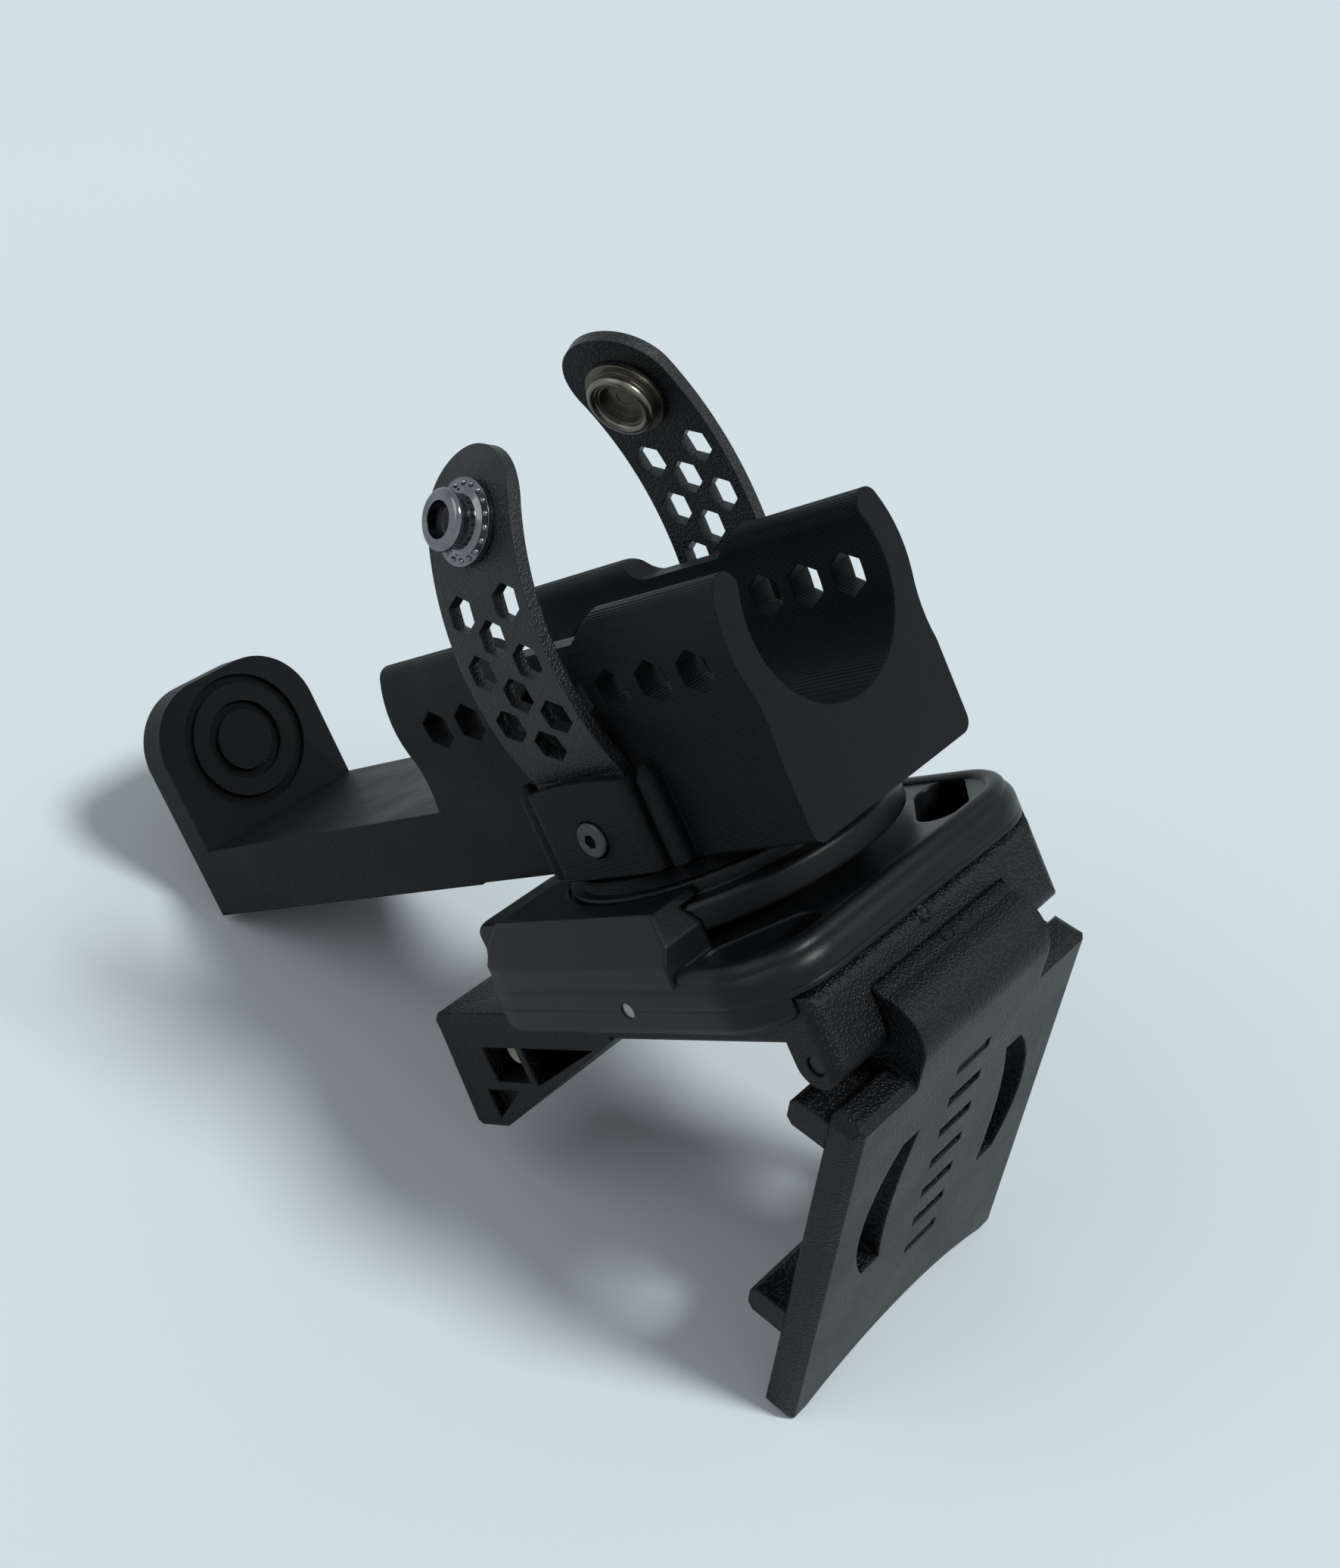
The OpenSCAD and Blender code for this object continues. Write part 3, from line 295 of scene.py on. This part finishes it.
def strap_plastic(name):
    """Flexible sheet with a fine pebbled skin."""
    finish = Finish(name)
    pebbles = finish.pebbles(0.45, 0.02, 0.6)
    fine = finish.noise(0.25, 4.0, 0.7)
    patches = finish.noise(7.0)
    return finish.material(
        # base colour: the pebbles' middles painted lighter than the gaps between them, a painted
        # highlight on each pebble
        base_color=finish.mix(pebbles, (0.004, 0.0045, 0.0055), (0.011, 0.0125, 0.0145)),
        roughness=patches.band(0.3, 0.7, 0.34, 0.46) + fine * 0.1,
        normal=finish.bump(pebbles * 0.8 + fine * 0.5, depth=0.11, edge=0.3),
        specular_ior_level=0.34,
    )


def moulded_plastic(name):
    """Injection-moulded plastic with a satin grain."""
    finish = Finish(name)
    grain = finish.noise(0.25, 5.0, 0.62)
    patches = finish.noise(16.0)
    return finish.material(
        base_color=finish.mix(patches, (0.0025, 0.003, 0.0038), (0.005, 0.0058, 0.0068)),
        roughness=patches.band(0.3, 0.7, 0.25, 0.34) + grain * 0.08,
        normal=finish.bump(grain, depth=0.03, edge=0.7),
        specular_ior_level=0.21,
    )


def etched_plastic(name):
    """The clip's coarser skin: small pebbles, their middles painted lighter as a painted
    highlight.
    """
    finish = Finish(name)
    pebbles = finish.pebbles(0.5, 0.05, 0.6)
    etch = finish.noise(0.3, 5.0, 0.7)
    patches = finish.noise(14.0)
    return finish.material(
        # base colour: the pebbles' middles painted lighter than the gaps between them, a painted
        # highlight on each pebble
        base_color=finish.mix(pebbles, (0.002, 0.0024, 0.003), (0.006, 0.0068, 0.008)),
        roughness=patches.band(0.3, 0.7, 0.27, 0.35) + etch * 0.12,
        normal=finish.bump(pebbles * 0.9 + etch * 0.6, depth=0.12, edge=0.7),
        specular_ior_level=0.19,
    )


def metal(name, dark, light, rough_low, rough_high):
    """Bare or plated metal, a little worn."""
    finish = Finish(name)
    wear = finish.noise(2.5, 5.0, 0.6)
    fine = finish.noise(0.8, 4.0)
    return finish.material(
        base_color=finish.mix(wear, dark, light),
        metallic=1.0,
        roughness=wear.band(0.3, 0.7, rough_low, rough_high) + fine * 0.04,
        normal=finish.bump(fine, depth=0.012, edge=0.12),
    )


def pale_plastic(name):
    """Natural, uncoloured plastic."""
    finish = Finish(name)
    spots = finish.noise(1.6, 4.0)
    return finish.material(
        base_color=finish.mix(spots, (0.3, 0.28, 0.25), (0.4, 0.38, 0.34)),
        roughness=spots.band(0.3, 0.7, 0.42, 0.55),
        normal=finish.bump(spots, depth=0.03, edge=0.3),
    )


def floor_board(name):
    """Pale matt board."""
    finish = Finish(name)
    return finish.material(
        base_color=finish.mix(finish.noise(260.0, 2.0), (0.6, 0.69, 0.74), (0.64, 0.73, 0.78)),
        roughness=0.85,
        specular_ior_level=0.1,
    )


FINISHES = {
    "printed": printed_plastic("printed"),
    "strap": strap_plastic("strap"),
    "moulded": moulded_plastic("moulded"),
    "bright": metal("bright", (0.08, 0.08, 0.085), (0.26, 0.26, 0.27), 0.08, 0.2),
    "aged_brass": metal("aged_brass", (0.1, 0.09, 0.075), (0.24, 0.22, 0.18), 0.24, 0.38),
    "brass": metal("brass", (0.6, 0.45, 0.2), (0.75, 0.6, 0.3), 0.25, 0.35),
    "dark_steel": metal("dark_steel", (0.03, 0.03, 0.035), (0.08, 0.08, 0.085), 0.28, 0.4),
    "steel": metal("steel", (0.2, 0.2, 0.21), (0.34, 0.34, 0.35), 0.25, 0.38),
    "pale_plastic": pale_plastic("pale_plastic"),
}
CLIP_SKIN = etched_plastic("clip_skin")
OWN_FINISHES = {
    "back_plate": CLIP_SKIN,
    "belt_plate": CLIP_SKIN,
    "upper_bar": CLIP_SKIN,
    "lower_bar": CLIP_SKIN,
    "hinge_pin": FINISHES["moulded"],
}


def paint(piece, material):
    piece.data.materials.clear()
    piece.data.materials.append(material)


def paint_nodes():
    """Gives each solid its own finish if it has one, or else that of its slot."""
    for part in record["subparts"]:
        name = part["node"]
        paint(nodes[name], OWN_FINISHES.get(name, FINISHES[part["material_slot"]]))


# ---------- modelling helpers ----------
def edit_mode():
    bpy.ops.object.mode_set(mode="EDIT")


def object_mode():
    bpy.ops.object.mode_set(mode="OBJECT")


def deselect():
    bpy.ops.object.select_all(action="DESELECT")


def select_mesh():
    bpy.ops.mesh.select_all(action="SELECT")


def weld():
    select_mesh()
    bpy.ops.mesh.remove_doubles(threshold=WELD * MM)


def set_origin():
    """Moves the piece's place, turn and size into its mesh."""
    bpy.ops.object.transform_apply(location=True, rotation=True, scale=True)


def near(value, place):
    return abs(value - place) < CLOSE


def past(value, place):
    return value > place + CLEAR


def block_between(low, high):
    """A block between two corners in the holder's frame."""
    deselect()
    low, high = Vector(low) * MM, Vector(high) * MM
    bpy.ops.mesh.primitive_cube_add(size=1.0, location=(low + high) / 2)
    block = bpy.context.object
    block.scale = high - low
    bpy.ops.object.transform_apply(location=True, rotation=False, scale=True)
    return block


def pick(piece, test, kind="VERT"):
    """Selects the vertices, edges or faces whose centres pass a test, and starts to edit them."""
    edit_mode()
    bpy.ops.mesh.select_mode(type=kind)
    bpy.ops.mesh.select_all(action="DESELECT")
    object_mode()
    points = piece.data.vertices
    if kind == "VERT":
        for vertex in points:
            vertex.select = test(vertex.co / MM)
    elif kind == "EDGE":
        for edge in piece.data.edges:
            first, second = edge.vertices
            edge.select = test((points[first].co + points[second].co) / (2 * MM))
    else:
        for face in piece.data.polygons:
            face.select = test(face.center / MM)
    edit_mode()


def move(x):
    bpy.ops.transform.translate(value=(x * MM, 0.0, 0.0))


def extrude(x, z):
    bpy.ops.mesh.extrude_region_move(TRANSFORM_OT_translate={"value": (x * MM, 0.0, z * MM)})
    object_mode()


def cut(piece, cutter):
    """Cuts away what a cutter covers, and throws the cutter away."""
    boolean = piece.modifiers.new("cut", "BOOLEAN")
    boolean.operation = "DIFFERENCE"
    boolean.solver = "EXACT"
    boolean.object = cutter
    deselect()
    bpy.context.view_layer.objects.active = piece
    piece.select_set(True)
    bpy.ops.object.modifier_apply(modifier="cut")
    bpy.data.objects.remove(cutter)


def fit(piece, body, slot):
    """Fixes a new piece to its body and gives it the finish of its slot."""
    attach(piece, body)
    paint(piece, FINISHES[slot])


# ---------- the trough, with its wall dips ----------
def dip_cutter():
    """The side view of the dip: a straight ramp, a level floor and a curved rise."""
    top = WALL_TOP + SKIM
    ramp = DIP_START - DIP_FOOT
    dip_end = DIP_RISE + RISE_RUN
    block = block_between((DIP_FOOT, -WALL_OUTSIDE, DIP_FLOOR), (DIP_RISE, WALL_OUTSIDE, top))
    pick(block, lambda c: near(c.z, top), "FACE")
    extrude(0.0, CUT_ABOVE)
    pick(block, lambda c: near(c.x, DIP_FOOT) and past(c.z, DIP_FLOOR))
    move(ramp)
    pick(block, lambda c: near(c.x, DIP_START) and past(c.z, top))
    move(ramp * CUT_ABOVE / (top - DIP_FLOOR))
    pick(block, lambda c: near(c.x, DIP_RISE) and past(c.z, DIP_FLOOR))
    move(RISE_RUN)
    pick(block, lambda c: near(c.x, dip_end) and past(c.z, top), "FACE")
    extrude(CUT_PAST, 0.0)
    pick(block, lambda c: near(c.y, 0.0) and (
        near(c.x, DIP_RISE) and near(c.z, DIP_FLOOR)
        or near(c.x, dip_end) and near(c.z, top)), "EDGE")
    bpy.ops.mesh.bevel(offset=RISE_FILLET * MM, segments=8, affect="EDGES")
    object_mode()
    return block


def corner_cutter(side):
    """What a round upper corner of the end stop leaves outside it."""
    inner = side * (STOP_HALF - STOP_ROUND)
    outer = side * (STOP_HALF + STOP_MARGIN)
    centre_z = STOP_TOP - STOP_ROUND
    block = block_between(
        (STOP_FACE - STOP_MARGIN, min(inner, outer), centre_z),
        (STOP_FACE + STOP_THICK + STOP_MARGIN, max(inner, outer), STOP_TOP + STOP_MARGIN))
    deselect()
    bpy.ops.mesh.primitive_cylinder_add(
        vertices=96, radius=STOP_ROUND * MM, depth=STOP_CYLINDER * MM,
        rotation=(0.0, math.pi / 2, 0.0),
        location=(STOP_FACE * MM, inner * MM, centre_z * MM))
    cut(block, bpy.context.object)
    return block


def make_trough():
    """A copy of the printed trough, arm and end stop, with dips and round corners cut out."""
    deselect()
    trough = nodes["cradle"].copy()
    trough.data = nodes["cradle"].data.copy()
    trough.name = "trough_with_dips"
    bpy.context.scene.collection.objects.link(trough)
    trough.select_set(True)
    bpy.context.view_layer.objects.active = trough
    edit_mode()
    weld()
    object_mode()
    bpy.ops.mesh.customdata_custom_splitnormals_clear()
    for cutter in (dip_cutter(), corner_cutter(-1), corner_cutter(1)):
        cutter.matrix_world = HOLDER @ cutter.matrix_world
        bpy.context.view_layer.update()
        cut(trough, cutter)
    bpy.ops.object.shade_flat()
    bpy.ops.object.shade_smooth_by_angle(angle=math.radians(TROUGH_SMOOTH))
    fit(trough, "holder", "printed")
    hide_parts("cradle")


# ---------- trim of the clip ----------
def make_deck_bead():
    """A round bead along the deck's edge, open where the hood and the lever's tab stand."""
    deselect()
    bpy.ops.mesh.primitive_plane_add(size=1.0, location=(0.0, 0.0, 0.0))
    bead = bpy.context.object
    bead.name = "deck_bead"
    bead.scale = (
        (ROTOR_LENGTH - 2 * BEAD_INSET) * MM, (ROTOR_WIDTH - 2 * BEAD_INSET) * MM, 1.0)
    set_origin()
    edit_mode()
    select_mesh()
    bpy.ops.mesh.bevel(
        offset=(ROTOR_CORNER - BEAD_INSET) * MM, segments=18, affect="VERTICES")
    select_mesh()
    bpy.ops.mesh.delete(type="ONLY_FACE")
    ends = (
        ((BEAD_NEAR_END, 0.0, 0.0), (1.0, 0.0, 0.0)),
        ((0.0, BEAD_REAR_END, 0.0), (0.0, 1.0, 0.0)))
    for point, normal in ends:
        select_mesh()
        bpy.ops.mesh.bisect(plane_co=Vector(point) * MM, plane_no=normal)
    object_mode()
    pick(bead, lambda c: past(c.x, BEAD_NEAR_END) and past(c.y, BEAD_REAR_END))
    bpy.ops.mesh.delete(type="VERT")
    object_mode()
    bpy.ops.object.convert(target="CURVE")
    bead.data.bevel_depth = BEAD_RADIUS * MM
    bead.data.bevel_resolution = 6
    bead.data.use_fill_caps = True
    bpy.ops.object.convert(target="MESH")
    level = DECK_LEVEL + BEAD_RISE - BEAD_RADIUS
    bead.matrix_world = CLIP @ Matrix.Translation((0.0, 0.0, level * MM))
    set_origin()
    edit_mode()
    weld()
    bpy.ops.mesh.normals_make_consistent(inside=False)
    object_mode()
    bpy.ops.object.shade_smooth_by_angle(angle=math.radians(BEAD_SMOOTH))
    fit(bead, "clip", "moulded")


def make_gate_mark(name, body, place, normal, height, seed):
    """The torn stub that a mould's gate leaves on the plastic."""
    deselect()
    bpy.ops.mesh.primitive_ico_sphere_add(
        subdivisions=3, radius=GATE_RADIUS * MM, location=hinge_at + Vector(place) * MM,
        rotation=Vector(normal).to_track_quat("Z", "Y").to_euler(),
        scale=(1.0, GATE_STRETCH, height / GATE_RADIUS))
    mark = bpy.context.object
    mark.name = name
    set_origin()
    edit_mode()
    select_mesh()
    bpy.ops.transform.vertex_random(
        offset=GATE_ROUGH * height * MM, uniform=0.3, normal=0.7, seed=seed)
    object_mode()
    fit(mark, body, "moulded")


# ---------- stage and light ----------
PALE = (0.62, 0.71, 0.76, 1.0)
WHITE = (1.0, 1.0, 1.0, 1.0)
SOFT_LIGHT = 0.3
FLOOR_RADIUS = 6.0      # metres
# each lamp: its direction as shares of right, up and back, its strength, its spread in degrees
LAMPS = {
    "key": ((0.75, 0.85, 0.35), 2.4, 14.0),
    "fill": ((-0.8, 0.7, 0.3), 0.5, 45.0),
}


def make_world():
    """Pale to the camera and in reflections, and a plain soft light on everything else."""
    bpy.context.scene.view_settings.view_transform = "Standard"
    world = bpy.data.worlds.new("world")
    bpy.context.scene.world = world
    tree = Tree(world)
    camera_ray, glossy_ray, through_ray = (
        tree.node("ShaderNodeLightPath", output=ray)
        for ray in ("Is Camera Ray", "Is Glossy Ray", "Is Transmission Ray"))
    pale_ray = camera_ray.larger(glossy_ray).larger(through_ray)
    light = tree.node("ShaderNodeBackground", {"Color": WHITE, "Strength": SOFT_LIGHT})
    pale = tree.node("ShaderNodeBackground", {"Color": PALE, "Strength": 1.0})
    surface = tree.node("ShaderNodeMixShader", {0: pale_ray, 1: light, 2: pale})
    tree.node("ShaderNodeOutputWorld", {"Surface": surface})


def make_floor():
    """A wide pale floor under the object."""
    deselect()
    low, high = (Vector(corner) for corner in cad_box)
    middle = (low + high) / 2
    bpy.ops.mesh.primitive_circle_add(
        vertices=96, radius=FLOOR_RADIUS, fill_type="NGON", location=(middle.x, middle.y, 0.0))
    floor = bpy.context.object
    floor.name = "floor"
    paint(floor, floor_board("floor"))


def make_lamps(camera):
    """Lamps placed by the camera's right and back, and by the true upright."""
    view = camera.matrix_world.to_3x3()
    right, back = view.col[0], view.col[2]
    for name, (share, strength, spread) in LAMPS.items():
        lamp = bpy.data.lights.new(name, "SUN")
        lamp.energy = strength
        lamp.angle = math.radians(spread)
        sun = bpy.data.objects.new(name, lamp)
        bpy.context.scene.collection.objects.link(sun)
        towards = right * share[0] + Vector((0.0, 0.0, share[1])) + back * share[2]
        sun.rotation_euler = towards.to_track_quat("Z", "Y").to_euler()


# ---------- the whole ----------
camera = make_camera()
make_trough()
make_deck_bead()
make_gate_mark("bar_gate_mark", "clip", **BAR_GATE)
make_gate_mark("barrel_gate_mark", "outer_plate", **BARREL_GATE)
paint_nodes()
make_world()
make_floor()
make_lamps(camera)
